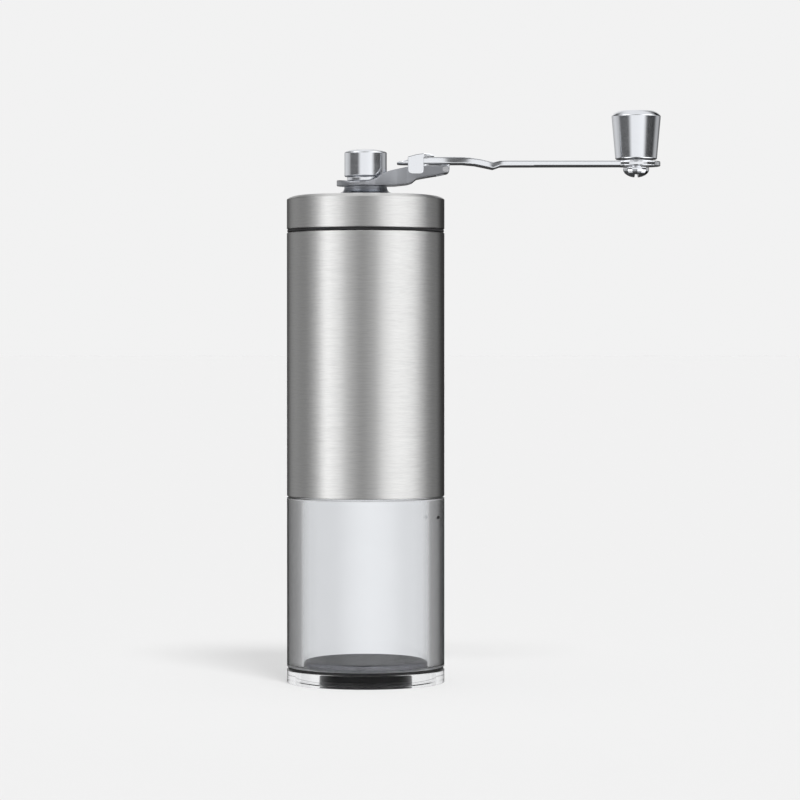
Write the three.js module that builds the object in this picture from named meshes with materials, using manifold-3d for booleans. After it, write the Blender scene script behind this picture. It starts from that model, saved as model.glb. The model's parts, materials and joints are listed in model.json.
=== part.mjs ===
// A slim hand crank coffee grinder, in millimetres.
// The body's axis is Z, the base stands on z = 0, and the crank points along +X.
import * as THREE from "three";
import { mergeVertices } from "three/addons/utils/BufferGeometryUtils.js";
import Module from "manifold-3d";

// Driving dimensions: radii from the piece's own axis, heights from the underside of the base.
const BODY_RADIUS = 25;
const RUNNING_FIT = 0.06;
const HEAD_GAP = 0.05;
const SHAFT_RADIUS = 3;
const SHAFT_BORE = SHAFT_RADIUS + RUNNING_FIT;
const STEM_RADIUS = 4.6;
const FINE = { big: 36, middle: 24, small: 16, wire: 8 };

const BASE = { bore: 15, top: 4.2, chamfer: 0.2 };
const PAD = { radius: 14, top: 1.2 };
const PLUG = { radius: 14.7, bottom: 1.5, step: 5.2, flange: 19.7, top: 7.1, edge: 0.4 };
const GASKET = { inner: 15.2, outer: 24.6, bottom: 4.4, top: 4.95 };
const CUP = { bore: 20, bottom: 5.1, top: 58.6, bevel: 0.35, neck: 21.8, neckTop: 67.5, wall: 0.8 };
const CUP_SEAL = { radius: 21.85, height: 62.2, section: 0.8, room: 0.1 };

const SLEEVE = { inner: 24, bottom: 59, top: 142.6, bevel: 0.25 };
const STACK_RADIUS = 23.7;
const HOUSING = { bottom: 59.8, seatBottom: 72, seatTop: 84.5, throatTop: 86.3, top: 92.5 };
const HOUSING_BORE = { socket: 22.9, seat: 19.3, throat: 17.5 };
const BRIDGE = { thick: 3, rim: 21.2, hub: 7, armWidth: 4.4, bushHole: 5, arms: 3 };
const BRIDGE_BOTTOM = { lower: 92.8, upper: 133.8 };
const BUSH = { outer: 4.9, flange: 6.4, flangeThick: 0.8, lift: 0.1 };
const LINER = { inner: 22.9, outer: STACK_RADIUS, bottom: 96.1, top: 133.5 };
const STACK_RING = { inner: 22.5, outer: STACK_RADIUS, bottom: 137.1, top: 138.3, slit: 3 };

const OUTER_BURR = { outer: 19, bottom: 72.3, waist: 79, top: 84.2, low: 15.5, mid: 14.9, high: 15.9 };
const OUTER_TEETH = { count: 18, depth: 0.3, lean: 0.05 };
const RETAINER = { inner: 16.2, outer: 22.75, bottom: 69.7, top: 71.7, screws: 3, pitch: 20.9, hole: 1.2 };
const SCREW = { head: 1.65, bottom: 68.4, headTop: 69.5, shank: 1, tip: 75.5, socket: 0.8, deep: 0.7 };
const SCREW_ROOM = 0.5;

const LID = { bottom: 143.6, shoulder: 152.6, rim: 154.2, top: 154.9, wall: 1, hole: 5.4 };
const LID_EDGE = { round: 2.4, bevel: 0.25 };
const LID_PLUG = { spigot: 22.2, wall: 1.5, bottom: 138.8, flange: 143.6, top: 146, web: 2, hole: 9 };
const LID_SEAL = { inner: 22.4, outer: 24.3, bottom: 142.75, top: 143.45 };
const COLLAR = { bottom: 149.5, sleeve: 5.2, seat: 155.1, flare: 8.6, neck: 6.7, top: 157.2 };

const CAP = { radius: 6.73, bevel: 0.25, edge: 1.2, bottom: 160.3, top: 168.7, crown: 169.1 };
const STEM_BOTTOM = 147.6;
const STEM_GROOVE = { radius: 4, bottom: 148.3, top: 149.2 };
const HUB_CLIP = { inner: 4.15, outer: 6.4, bottom: 148.4, top: 149.1, slit: 4 };
const HEX = { shaft: 2.83, socket: 2.944, top: 158, socketTop: 158.4 };
const HUB_WASHER = { inner: 4.75, outer: 5.9, bottom: 158.9, top: 160.2 };

const PIN = { x: 25.3, z: 162.45, radius: 0.7, head: 0.95, headThick: 0.15 };
const BRACKET = { radius: 9.2, half: 5.6, wall: 1.1, hole: 4.75, bottom: 157.3, taperEnd: 13, eye: 1.25 };
const ARM = { tail: 9.9, half: 5.6, knobX: 85.8, disc: 7.7, knuckle: 4.2, hole: 2.15, top: 165.2 };
const ARM_CORNER = { tail: 3, disc: 6 };
const CLIP = { left: 13.4, tabEnd: 18.4, right: 21.7 };
const TAB = { inner: 6, outer: 7, bottom: 160.9, corner: 1.3 };
const RIVET = { x: 18.5, hole: 1.25, shank: 1.1, head: 2 };
const RIVET_HEIGHTS = { bottom: 163.5, footTop: 164.1, domeBottom: 167.05, top: 167.5 };
const RIVET_SEAT = { radius: 2.1, bottom: 167 };
// Cutters for the crank's pieces reach past all of them.
const CUTTER = { bottom: 150, top: 175, reach: 20 };

const KNOB_SCREW = { head: 4.15, bottom: 160.1, edge: 0.6, top: 163.25, shank: 2, tip: 177.4 };
const SCREW_SLOT = { width: 1.1, deep: 1.2 };
const KNOB_GROOVE = { radius: 1.6, bottom: 176, top: 176.8 };
const KNOB_WASHER = { inner: 2.2, outer: 5, bottom: 165.3, top: 165.6 };
const KNOB = { low: 6.6, high: 7.8, edge: 0.3, bottom: 165.75, shoulder: 180, top: 181.1 };
const KNOB_ROOM = { bore: 3.5, radius: 5.6, floor: 175.4 };
const KNOB_BUSH = { inner: KNOB_SCREW.shank + RUNNING_FIT, outer: 3.4, bottom: 165.9, top: 175.2 };
const KNOB_CLIP = { inner: 1.7, outer: 3.6, bottom: 176.05, top: 176.75, slit: 1.6 };
const KNOB_CAP = { radius: 5.4, wall: 1, skirt: 177.9, bottom: 178.4, edge: 181.05, crown: 181.25 };

const SHAFT = { bottom: 60.6, hexBottom: 146, flats: 2.5, flatBottom: 67.7, flatTop: 91, chamfer: 0.4 };
const SHAFT_COLLAR = { inner: SHAFT_BORE, outer: 5, bottom: 97.2, top: 99.2 };
const SPRING_SEAT = { inner: SHAFT_BORE, outer: 6.2, bottom: 91.7, top: 92.4 };
const SPRING = { radius: 4.5, wire: 0.45, bottom: 87.1, top: 91.2, turns: 4, steps: 48 };
const CARRIER = { outer: 5.9, flange: 9, bottom: 69, flangeTop: 70.2, top: 86.2, flats: 2.62 };
const INNER_BURR = { bore: 6, bottom: 70.5, belly: 73, top: 86, low: 14.3, wide: 14.1, narrow: 7.6 };
const INNER_TEETH = { count: 8, depth: 0.9, lean: 0.07 };
const CLICK_PLATE = { inner: 3.4, outer: 8.6, bottom: 67.9, top: 68.7, notches: 12, notch: 0.7 };
const ADJUSTER = { radius: 11, edge: 0.6, bottom: 61.8, shoulder: 66.2, hub: 5, top: 67.6 };
const SCALLOP = { count: 9, radius: 2.2, pitch: 12.2 };

const wasm = await Module();
wasm.setup();

// A closed geometry as a solid that can be cut and joined.
function solidOf(geometry) {
  const bare = geometry.index ? geometry.toNonIndexed() : geometry.clone();
  bare.deleteAttribute("normal");
  bare.deleteAttribute("uv");
  const merged = mergeVertices(bare, 1e-4);
  const vertProperties = merged.attributes.position.array;
  const triVerts = new Uint32Array(merged.index.array);
  return new wasm.Manifold(new wasm.Mesh({ numProp: 3, vertProperties, triVerts }));
}

function geometryOf(solid) {
  const mesh = solid.getMesh();
  const geometry = new THREE.BufferGeometry();
  geometry.setAttribute("position", new THREE.BufferAttribute(mesh.vertProperties, 3));
  geometry.setIndex(new THREE.BufferAttribute(mesh.triVerts, 1));
  geometry.computeVertexNormals();
  return geometry;
}

const combine = (action, first, rest) =>
  geometryOf(rest.reduce((solid, other) => solid[action](solidOf(other)), solidOf(first)));
const cut = (body, ...tools) => combine("subtract", body, tools);
const join = (body, ...others) => combine("add", body, others);
const common = (body, ...others) => combine("intersect", body, others);

// Turns an outline of [radius, height] points, counter-clockwise, round the Z axis.
function turned(outline, segments = FINE.big) {
  const points = outline.map(([radius, height]) => new THREE.Vector2(radius, height));
  const onAxis = outline[0][0] === 0 && outline.at(-1)[0] === 0;
  if (!onAxis) points.push(points[0].clone());
  return new THREE.LatheGeometry(points, segments).rotateX(Math.PI / 2);
}

const ring = (inner, outer, bottom, top, segments) =>
  turned([[inner, bottom], [outer, bottom], [outer, top], [inner, top]], segments);
const disc = (radius, bottom, top, segments) =>
  turned([[0, bottom], [radius, bottom], [radius, top], [0, top]], segments);

// Points on an ellipse's arc, from one angle to another, in radians.
function arc(centre, radii, from, to, steps) {
  return Array.from({ length: steps + 1 }, (_, i) => {
    const angle = from + ((to - from) * i) / steps;
    return [centre[0] + radii[0] * Math.cos(angle), centre[1] + radii[1] * Math.sin(angle)];
  });
}

const shapeOf = (points) => new THREE.Shape(points.map(([x, y]) => new THREE.Vector2(x, y)));

// A flat shape in the XY plane, raised from one height to another.
function raised(shape, bottom, top, curveSegments = FINE.small) {
  const settings = { depth: top - bottom, bevelEnabled: false, curveSegments };
  return new THREE.ExtrudeGeometry(shape, settings).translate(0, 0, bottom);
}

// A side view in the XZ plane, spread across Y from -half to half.
function spread(points, half) {
  return raised(shapeOf(points), -half, half).rotateX(Math.PI / 2);
}

const box = (low, high) =>
  new THREE.BoxGeometry(...high.map((value, i) => value - low[i])).translate(
    ...high.map((value, i) => (value + low[i]) / 2),
  );

const hexPrism = (radius, bottom, top) => disc(radius, bottom, top, 6);

const plainRing = ({ inner, outer, bottom, top }, segments) => ring(inner, outer, bottom, top, segments);

// Equal angles round a full turn, from a first one.
const around = (count, first = 0) =>
  Array.from({ length: count }, (_, i) => first + (i * 2 * Math.PI) / count);

// A retaining ring with a slit along +X.
function slitRing({ inner, outer, bottom, top, slit }, segments = FINE.middle) {
  const gap = box([0, -slit / 2, bottom - 1], [outer + 1, slit / 2, top + 1]);
  return cut(ring(inner, outer, bottom, top, segments), gap);
}

// Presses leaning teeth into a turned surface wherever the outline's test says so.
function toothed(geometry, { count, depth, lean }, isCut) {
  const position = geometry.attributes.position;
  for (let i = 0; i < position.count; i++) {
    const [x, y, z] = [position.getX(i), position.getY(i), position.getZ(i)];
    const radius = Math.hypot(x, y);
    if (!isCut(radius, z)) continue;
    const wave = Math.cos(count * (Math.atan2(y, x) + lean * z));
    const scale = (radius - (depth * (1 - wave)) / 2) / radius;
    position.setXYZ(i, x * scale, y * scale, z);
  }
  return geometry;
}

// The cup: a clear base, a black floor plug and the clear grounds cup.

function baseRing() {
  const { bore, top, chamfer } = BASE;
  return turned([
    [bore, 0],
    [BODY_RADIUS - chamfer, 0],
    [BODY_RADIUS, chamfer],
    [BODY_RADIUS, top],
    [bore, top],
  ]);
}

function floorPlug() {
  const { radius, bottom, step, flange, top, edge } = PLUG;
  return turned([
    [0, bottom],
    [radius, bottom],
    [radius, step],
    [flange, step],
    [flange, top - edge],
    [flange - edge, top],
    [0, top],
  ]);
}

function groundsCup() {
  const { bore, bottom, top, bevel, neck, neckTop, wall } = CUP;
  const { height, section, room } = CUP_SEAL;
  const grooveHalf = section + room;
  return turned([
    [bore, bottom],
    [BODY_RADIUS, bottom],
    [BODY_RADIUS, top - bevel],
    [BODY_RADIUS - bevel, top],
    [neck, top],
    [neck, height - grooveHalf],
    [neck - wall, height - grooveHalf],
    [neck - wall, height + grooveHalf],
    [neck, height + grooveHalf],
    [neck, neckTop],
    [bore, neckTop],
  ]);
}

function cupSeal() {
  const { radius, height, section } = CUP_SEAL;
  const turns = arc([radius, height], [section, section], 0, 2 * Math.PI, FINE.wire);
  return turned(turns.slice(0, -1));
}

// The body: a metal sleeve over a stack of burr housing, bridges and hopper liner.

function outerSleeve() {
  const { inner, bottom, top, bevel } = SLEEVE;
  return turned([
    [inner, bottom],
    [BODY_RADIUS - bevel, bottom],
    [BODY_RADIUS, bottom + bevel],
    [BODY_RADIUS, top - bevel],
    [BODY_RADIUS - bevel, top],
    [inner, top],
  ]);
}

const screwAngles = around(RETAINER.screws, Math.PI / 3);
const atScrew = (geometry, angle) =>
  geometry.translate(RETAINER.pitch * Math.cos(angle), RETAINER.pitch * Math.sin(angle), 0);

function burrHousing() {
  const { bottom, seatBottom, seatTop, throatTop, top } = HOUSING;
  const { socket, seat, throat } = HOUSING_BORE;
  const shell = turned([
    [STACK_RADIUS, bottom],
    [STACK_RADIUS, top],
    [socket, top],
    [throat, throatTop],
    [throat, seatTop],
    [seat, seatTop],
    [seat, seatBottom],
    [socket, seatBottom],
    [socket, bottom],
  ]);
  const hole = disc(RETAINER.hole, seatBottom - 1, SCREW.tip + SCREW_ROOM, FINE.wire);
  const holes = screwAngles.map((angle) => atScrew(hole.clone(), angle));
  return cut(shell, ...holes);
}

// A three-armed bridge that centres a bush on the axis.
function bridge(bottom) {
  const { thick, rim, hub, armWidth, bushHole, arms } = BRIDGE;
  const top = bottom + thick;
  const spoke = box([hub - 1, -armWidth / 2, bottom], [rim + 1, armWidth / 2, top]);
  const spokes = around(arms).map((angle) => spoke.clone().rotateZ(angle));
  const middle = ring(bushHole, hub, bottom, top, FINE.middle);
  return join(ring(rim, STACK_RADIUS, bottom, top), middle, ...spokes);
}

function bush(bridgeBottom) {
  const { outer, flange, flangeThick, lift } = BUSH;
  const seat = bridgeBottom + BRIDGE.thick + lift;
  const top = seat + flangeThick;
  const outline = [
    [SHAFT_BORE, bridgeBottom],
    [outer, bridgeBottom],
    [outer, seat],
    [flange, seat],
    [flange, top],
    [SHAFT_BORE, top],
  ];
  return turned(outline, FINE.middle);
}

function outerBurr() {
  const { outer, bottom, waist, top, low, mid, high } = OUTER_BURR;
  const outline = [[low, bottom], [outer, bottom], [outer, top], [high, top], [mid, waist]];
  const blank = turned(outline, OUTER_TEETH.count * 4);
  return toothed(blank, OUTER_TEETH, (radius) => radius < outer - 1);
}

function burrRetainer() {
  const { inner, outer, bottom, top, hole } = RETAINER;
  const drill = disc(hole, bottom - 1, top + 1, FINE.wire);
  const holes = screwAngles.map((angle) => atScrew(drill.clone(), angle));
  return cut(ring(inner, outer, bottom, top), ...holes);
}

function retainerScrew(angle) {
  const { head, bottom, headTop, shank, tip, socket, deep } = SCREW;
  const outline = [
    [0, bottom + deep],
    [socket, bottom + deep],
    [socket, bottom],
    [head, bottom],
    [head, headTop],
    [shank, headTop],
    [shank, tip],
    [0, tip],
  ];
  return atScrew(turned(outline, FINE.wire * 1.5), angle);
}

// The lid: a metal shell over a plastic plug, with the collar that the crank turns in.

function lidShell() {
  const { bottom, shoulder, rim, top, wall, hole } = LID;
  const { round, bevel } = LID_EDGE;
  const edgeAt = (offset) =>
    arc([BODY_RADIUS - round, shoulder], [round - offset, rim - shoulder - offset], 0, Math.PI / 2, 6);
  return turned([
    [BODY_RADIUS - wall, bottom],
    [BODY_RADIUS - bevel, bottom],
    [BODY_RADIUS, bottom + bevel],
    ...edgeAt(0),
    [COLLAR.flare, top],
    [hole, top],
    [hole, top - wall],
    [COLLAR.flare, top - wall],
    ...edgeAt(wall).reverse(),
  ]);
}

function lidPlug() {
  const { spigot, wall, bottom, flange, top, web, hole } = LID_PLUG;
  return turned([
    [spigot - wall, bottom],
    [spigot, bottom],
    [spigot, flange],
    [STACK_RADIUS, flange],
    [STACK_RADIUS, top],
    [hole, top],
    [hole, top - web],
    [spigot - wall, top - web],
  ]);
}

function hubCollar() {
  const { bottom, sleeve, seat, flare, neck, top } = COLLAR;
  const bore = STEM_RADIUS + RUNNING_FIT;
  const sweep = arc([flare, top], [flare - neck, top - seat], (3 * Math.PI) / 2, Math.PI, 4);
  const outline = [[bore, bottom], [sleeve, bottom], [sleeve, seat], ...sweep, [bore, top]];
  return turned(outline, FINE.middle);
}

// The crank's hub: a capped stem with a hexagon socket, and the channel bracket clamped on it.

function hubCap() {
  const { radius, bevel, edge, bottom, top, crown } = CAP;
  const groove = STEM_GROOVE;
  const blank = turned(
    [
      [0, STEM_BOTTOM],
      [STEM_RADIUS, STEM_BOTTOM],
      [STEM_RADIUS, groove.bottom],
      [groove.radius, groove.bottom],
      [groove.radius, groove.top],
      [STEM_RADIUS, groove.top],
      [STEM_RADIUS, bottom],
      [radius - bevel, bottom],
      [radius, bottom + bevel],
      ...arc([radius - edge, top - edge], [edge, edge], 0, Math.PI / 2, 4),
      [0, crown],
    ],
    FINE.middle,
  );
  return cut(blank, hexPrism(HEX.socket, STEM_BOTTOM - 1, HEX.socketTop));
}

// The bracket's plan: a round end that tapers into straight sides, inset by its wall.
function bracketPlan(inset, end) {
  const radius = BRACKET.radius - inset;
  const half = BRACKET.half - inset;
  const back = arc([0, 0], [radius, radius], Math.PI * 1.5, Math.PI * 0.5, 16);
  return shapeOf([...back, [BRACKET.taperEnd, half], [end, half], [end, -half], [BRACKET.taperEnd, -half]]);
}

// The bracket's side view: its underside from the ring at the hub to the fork, and its rim back again.
const BRACKET_UNDER = [
  [-BRACKET.radius, BRACKET.bottom],
  [9, 157.4],
  [13, 157.8],
  [14.6, 158.3],
  [16, 159.5],
  [20.5, 160.3],
  [22.4, 160.6],
];
const BRACKET_RIM = [
  [20, 163.6],
  [13, 163.2],
  [8.1, 162.1],
  [5.7, 161.2],
  [3.4, 159.6],
  [1, 158.7],
  [-4, 158.6],
  [-BRACKET.radius, 159.2],
];

// A round bar along Y, on the hinge pin's axis.
const acrossY = (radius, half, segments) =>
  disc(radius, -half, half, segments).rotateX(Math.PI / 2).translate(PIN.x, 0, PIN.z);

function crankBracket() {
  const { wall, hole, eye, half, bottom } = BRACKET;
  const [open] = BRACKET_UNDER.at(-1);
  const end = PIN.x + eye + 1;
  const eyeRound = arc([PIN.x, PIN.z], [eye, eye], -Math.PI / 2, Math.PI / 2, 10);
  const side = spread([...BRACKET_UNDER, ...eyeRound, ...BRACKET_RIM], CUTTER.reach);
  const blank = common(raised(bracketPlan(0, end), CUTTER.bottom, CUTTER.top), side);
  const inside = BRACKET_UNDER.map(([x, z]) => [x, z + wall]);
  const channel = spread([...inside, [open, CUTTER.top], [-CUTTER.reach, CUTTER.top]], CUTTER.reach);
  const hollow = common(raised(bracketPlan(wall, open), CUTTER.bottom, CUTTER.top), channel);
  const fork = box([open - 0.01, wall - half, CUTTER.bottom], [end, half - wall, CUTTER.top]);
  const stemHole = disc(hole, bottom - 1, bottom + 2 * wall, FINE.middle);
  const pinHole = acrossY(PIN.radius + RUNNING_FIT, half + 1, FINE.small);
  return cut(blank, hollow, fork, stemHole, pinHole);
}

function hingePin() {
  const { radius, head, headThick } = PIN;
  const face = BRACKET.half + HEAD_GAP;
  const end = face + headThick;
  const outline = [
    [0, -end],
    [head, -end],
    [head, -face],
    [radius, -face],
    [radius, face],
    [head, face],
    [head, end],
    [0, end],
  ];
  return turned(outline, FINE.small).rotateX(Math.PI / 2).translate(PIN.x, 0, PIN.z);
}

// The folding arm: a joggled strip with a knuckle between the bracket's cheeks.

// The arm's plan: rounded at the tail, straight along the strip, and a disc under the knob.
function armPlan() {
  const { tail, half, knobX, disc: radius } = ARM;
  const meet = Math.asin(half / radius);
  const stripEnd = knobX - radius * Math.cos(meet) - ARM_CORNER.disc;
  const round = ARM_CORNER.tail;
  return shapeOf([
    ...arc([tail + round, half - round], [round, round], Math.PI, Math.PI / 2, 4),
    [stripEnd, half],
    ...arc([knobX, 0], [radius, radius], Math.PI - meet, meet - Math.PI, 24),
    [stripEnd, -half],
    ...arc([tail + round, round - half], [round, round], Math.PI * 1.5, Math.PI, 4),
  ]);
}

// The arm's side view between the tail and the disc: its underside out, and its top side back.
function armSide() {
  const start = ARM.tail - 1;
  const end = ARM.knobX + ARM.disc + 1;
  return [
    [start, 164.2],
    [30.5, 164.25],
    [34.5, 163.9],
    [40.3, 162.7],
    [42.6, 163.5],
    [end, 163.6],
    [end, ARM.top],
    [42.3, ARM.top],
    [40.4, 164.7],
    [36.5, 165.6],
    [32.5, 166.2],
    [28, 166.4],
    [20, 166.3],
    [13.4, 165.5],
    [start, 164.6],
  ];
}

function crankArm() {
  const { knobX, knuckle, hole, top } = ARM;
  const plan = raised(armPlan(), CUTTER.bottom, CUTTER.top);
  const plate = common(spread(armSide(), CUTTER.reach), plan);
  const eye = acrossY(BRACKET.eye, knuckle, FINE.small);
  const neck = box([PIN.x - BRACKET.eye, -knuckle, PIN.z], [PIN.x + BRACKET.eye, knuckle, top]);
  const pinHole = acrossY(PIN.radius + RUNNING_FIT, knuckle + 1, FINE.small);
  const knobHole = disc(hole, CUTTER.bottom, CUTTER.top, FINE.small).translate(knobX, 0, 0);
  return cut(join(plate, eye, neck), pinHole, knobHole, rivetHole());
}

const rivetHole = () =>
  disc(RIVET.hole, CUTTER.bottom, CUTTER.top, FINE.wire * 2).translate(RIVET.x, 0, 0);

// An arched strap over the arm, with a rounded tab down each side of the bracket.
function armClip() {
  const { left, tabEnd, right } = CLIP;
  const { inner, outer, bottom, corner } = TAB;
  const arch = [
    [left, 165.75],
    [17, 166.2],
    [right, 166.6],
    [right, 166.9],
    [20.4, 167.3],
    [18.5, 167.45],
    [16, 167.1],
    [left, 166.4],
  ];
  const plan = shapeOf([
    [left, -outer],
    [tabEnd, -outer],
    [right, -ARM.half],
    [right, ARM.half],
    [tabEnd, outer],
    [left, outer],
  ]);
  const tabSide = [
    ...arc([left + corner, bottom + corner], [corner, corner], Math.PI, Math.PI * 1.5, 4),
    ...arc([tabEnd - corner, bottom + corner], [corner, corner], Math.PI * 1.5, Math.PI * 2, 4),
    [tabEnd, 166.6],
    [left, 165.9],
  ];
  const strap = common(spread(arch, outer), raised(plan, CUTTER.bottom, CUTTER.top));
  const tab = spread(tabSide, (outer - inner) / 2);
  const tabs = [-1, 1].map((side) => tab.clone().translate(0, (side * (inner + outer)) / 2, 0));
  const seat = disc(RIVET_SEAT.radius, RIVET_SEAT.bottom, CUTTER.top, FINE.small).translate(RIVET.x, 0, 0);
  return cut(join(strap, ...tabs), rivetHole(), seat);
}

function clipRivet() {
  const { x, shank, head } = RIVET;
  const { bottom, footTop, domeBottom, top } = RIVET_HEIGHTS;
  const dome = arc([0, domeBottom], [head, top - domeBottom], 0, Math.PI / 2, 4).slice(0, -1);
  const outline = [
    [0, bottom],
    [head, bottom],
    [head, footTop],
    [shank, footTop],
    [shank, domeBottom],
    ...dome,
    [0, top],
  ];
  return turned(outline, FINE.wire * 2).translate(x, 0, 0);
}

const atKnob = (geometry) => geometry.translate(ARM.knobX, 0, 0);

// The knob's screw: a slotted pan head under the arm and a plain shank that the knob turns on.
function knobScrew() {
  const { head, bottom, top, shank, tip } = KNOB_SCREW;
  const { width, deep } = SCREW_SLOT;
  const rim = top - KNOB_SCREW.edge;
  const dome = arc([0, rim], [head, rim - bottom], -Math.PI / 2, 0, 6).slice(1);
  const groove = KNOB_GROOVE;
  const blank = turned(
    [
      [0, bottom],
      ...dome,
      [head, top],
      [shank, top],
      [shank, groove.bottom],
      [groove.radius, groove.bottom],
      [groove.radius, groove.top],
      [shank, groove.top],
      [shank, tip],
      [0, tip],
    ],
    FINE.small,
  );
  const slot = box([-width / 2, -head - 1, bottom - 1], [width / 2, head + 1, bottom + deep]);
  return atKnob(cut(blank, slot));
}

// The knob: a tapered handle, bored for its bush and closed by a cap.

function handleKnob() {
  const { low, high, edge, bottom, shoulder, top } = KNOB;
  const { bore, radius, floor } = KNOB_ROOM;
  const round = top - shoulder;
  const outline = [
    [bore, bottom],
    [low - edge, bottom],
    [low, bottom + edge],
    ...arc([high - round, shoulder], [round, round], 0, Math.PI / 2, 4),
    [radius, top],
    [radius, floor],
    [bore, floor],
  ];
  return atKnob(turned(outline, FINE.middle));
}

function knobCap() {
  const { radius, bottom, crown, edge, skirt, wall } = KNOB_CAP;
  const outline = [
    [0, bottom],
    [radius - wall, bottom],
    [radius - wall, skirt],
    [radius, skirt],
    [radius, edge],
    [0, crown],
  ];
  return atKnob(turned(outline, FINE.middle));
}

// The drive: the shaft, the sprung inner burr that slides on its flats, and the nut that sets it.

function driveShaft() {
  const { bottom, hexBottom, flats, flatBottom, flatTop, chamfer } = SHAFT;
  const outline = [
    [0, bottom],
    [SHAFT_RADIUS - chamfer, bottom],
    [SHAFT_RADIUS, bottom + chamfer],
    [SHAFT_RADIUS, hexBottom],
    [0, hexBottom],
  ];
  const flat = box([-SHAFT_RADIUS - 1, -1, flatBottom], [SHAFT_RADIUS + 1, 1, flatTop]);
  const flatCuts = [-1, 1].map((side) => flat.clone().translate(0, side * (flats + 1), 0));
  const hexEnd = hexPrism(HEX.shaft, hexBottom - 1, HEX.top);
  return cut(join(turned(outline, FINE.middle), hexEnd), ...flatCuts);
}

function burrCarrier() {
  const { outer, flange, bottom, flangeTop, top, flats } = CARRIER;
  const outline = [
    [0, bottom],
    [flange, bottom],
    [flange, flangeTop],
    [outer, flangeTop],
    [outer, top],
    [0, top],
  ];
  const bore = common(
    disc(SHAFT_BORE, bottom - 1, top + 1, FINE.middle),
    box([-SHAFT_RADIUS - 1, -flats, bottom - 1], [SHAFT_RADIUS + 1, flats, top + 1]),
  );
  return cut(turned(outline, FINE.middle), bore);
}

function innerBurr() {
  const { bore, bottom, belly, top, low, wide, narrow } = INNER_BURR;
  const steps = [0, 0.25, 0.5, 0.75, 1];
  const cone = steps.map((t) => [wide + (narrow - wide) * t, belly + (top - belly) * t]);
  const blank = turned([[bore, bottom], [low, bottom], ...cone, [bore, top]], FINE.big);
  return toothed(blank, INNER_TEETH, (radius, z) => radius > bore + 1 && z > bottom);
}

class Helix extends THREE.Curve {
  getPoint(t, target = new THREE.Vector3()) {
    const { radius, wire, bottom, top, turns } = SPRING;
    const angle = 2 * Math.PI * turns * t;
    const height = bottom + wire + (top - bottom - 2 * wire) * t;
    return target.set(radius * Math.cos(angle), radius * Math.sin(angle), height);
  }
}

function burrSpring() {
  const section = shapeOf(arc([0, 0], [SPRING.wire, SPRING.wire], 0, 2 * Math.PI, 6).slice(0, -1));
  return new THREE.ExtrudeGeometry(section, { steps: SPRING.steps, extrudePath: new Helix() });
}

function clickPlate() {
  const { inner, outer, bottom, top, notches, notch } = CLICK_PLATE;
  const dent = disc(notch, bottom - 1, top + 1, FINE.wire).translate(outer, 0, 0);
  const dents = around(notches).map((angle) => dent.clone().rotateZ(angle));
  return cut(ring(inner, outer, bottom, top, FINE.small), ...dents);
}

function adjusterNut() {
  const { radius, edge, bottom, shoulder, hub, top } = ADJUSTER;
  const outline = [
    [SHAFT_BORE, bottom],
    [radius - edge, bottom],
    [radius, bottom + edge],
    [radius, shoulder],
    [hub, top],
    [SHAFT_BORE, top],
  ];
  const dent = disc(SCALLOP.radius, bottom - 1, top + 1, FINE.wire * 1.5).translate(SCALLOP.pitch, 0, 0);
  const dents = around(SCALLOP.count).map((angle) => dent.clone().rotateZ(angle));
  return cut(turned(outline, FINE.middle), ...dents);
}

const FINISH = {
  brushed: { color: 0xb9b9b6, roughness: 0.35, metalness: 1 },
  chrome: { color: 0xe2e3e6, roughness: 0.08, metalness: 1 },
  steel: { color: 0xc6c8cb, roughness: 0.25, metalness: 1 },
  burr: { color: 0x8e9094, roughness: 0.4, metalness: 1 },
  brass: { color: 0xc9a455, roughness: 0.3, metalness: 1 },
  clear: { color: 0xeef1f3, roughness: 0.05, metalness: 0, transparent: true, opacity: 0.35 },
  black: { color: 0x16171a, roughness: 0.25, metalness: 0 },
  plastic: { color: 0x1d1e20, roughness: 0.5, metalness: 0 },
  rubber: { color: 0x111112, roughness: 0.8, metalness: 0 },
};

function piece(name, geometry, finish) {
  const mesh = new THREE.Mesh(geometry, new THREE.MeshStandardMaterial(FINISH[finish]));
  mesh.name = name;
  return mesh;
}

const group = (...pieces) => new THREE.Group().add(...pieces);

const cup = group(
  piece("base_ring", baseRing(), "clear"),
  piece("foot_pad", disc(PAD.radius, 0, PAD.top, FINE.middle), "rubber"),
  piece("floor_plug", floorPlug(), "black"),
  piece("base_gasket", plainRing(GASKET), "rubber"),
  piece("grounds_cup", groundsCup(), "clear"),
  piece("cup_seal", cupSeal(), "rubber"),
);

const body = group(
  piece("outer_sleeve", outerSleeve(), "brushed"),
  piece("burr_housing", burrHousing(), "plastic"),
  piece("lower_bridge", bridge(BRIDGE_BOTTOM.lower), "plastic"),
  piece("upper_bridge", bridge(BRIDGE_BOTTOM.upper), "plastic"),
  piece("hopper_liner", plainRing(LINER), "plastic"),
  piece("stack_ring", slitRing(STACK_RING, FINE.big), "steel"),
  piece("lower_bush", bush(BRIDGE_BOTTOM.lower), "brass"),
  piece("upper_bush", bush(BRIDGE_BOTTOM.upper), "brass"),
  piece("outer_burr", outerBurr(), "burr"),
  piece("burr_retainer", burrRetainer(), "steel"),
  ...screwAngles.map((angle, i) => piece(`retainer_screw_${i + 1}`, retainerScrew(angle), "steel")),
);

const lid = group(
  piece("lid_shell", lidShell(), "brushed"),
  piece("lid_plug", lidPlug(), "plastic"),
  piece("lid_seal", plainRing(LID_SEAL), "rubber"),
  piece("hub_collar", hubCollar(), "chrome"),
);

const crank = group(
  piece("hub_cap", hubCap(), "chrome"),
  piece("hub_washer", plainRing(HUB_WASHER, FINE.middle), "steel"),
  piece("hub_clip", slitRing(HUB_CLIP), "steel"),
  piece("crank_bracket", crankBracket(), "chrome"),
  piece("hinge_pin", hingePin(), "steel"),
);

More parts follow.
